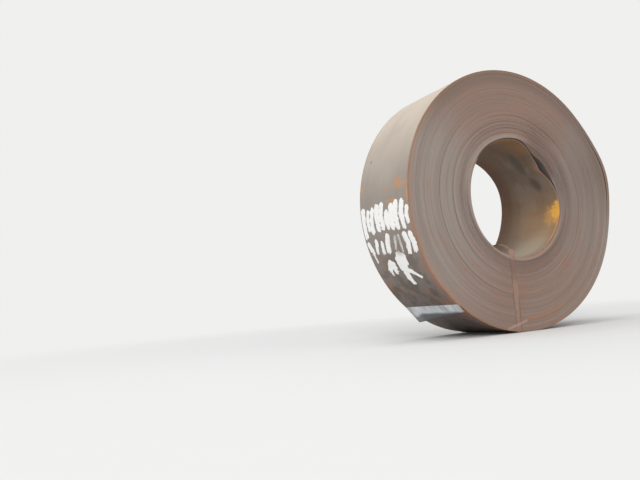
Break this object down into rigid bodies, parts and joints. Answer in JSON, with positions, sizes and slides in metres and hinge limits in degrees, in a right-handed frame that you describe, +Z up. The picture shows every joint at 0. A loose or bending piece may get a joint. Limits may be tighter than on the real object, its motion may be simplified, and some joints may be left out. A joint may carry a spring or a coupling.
{
  "type": "steel coil",
  "caption": "Coil of hot-rolled steel strip lying on its rim, wound round an open eye and sprung a little out of round, with a lifted outer end and a steel strap through the eye.",
  "frame": {"origin": "centre of the eye, on the coil's axis, halfway across the strip", "axes": "+Y along the coil's axis, away from the end that the picture shows; +Z up, as the coil lies on its rim; +X to the right, seen from that end"},
  "size_m": [1.1363, 0.357, 1.1156],
  "materials": {
    "coil_steel": "hot-rolled mill scale, dull grey-brown, with light rust on the strip edges",
    "strap_steel": "dull steel strapping, lightly rusted",
    "marking_paint": "white brushed-on tally paint, matte"
  },
  "bodies": {
    "root": {"steel_coil": "coil_steel", "eye_strap": "strap_steel"}
  },
  "joints": []
}
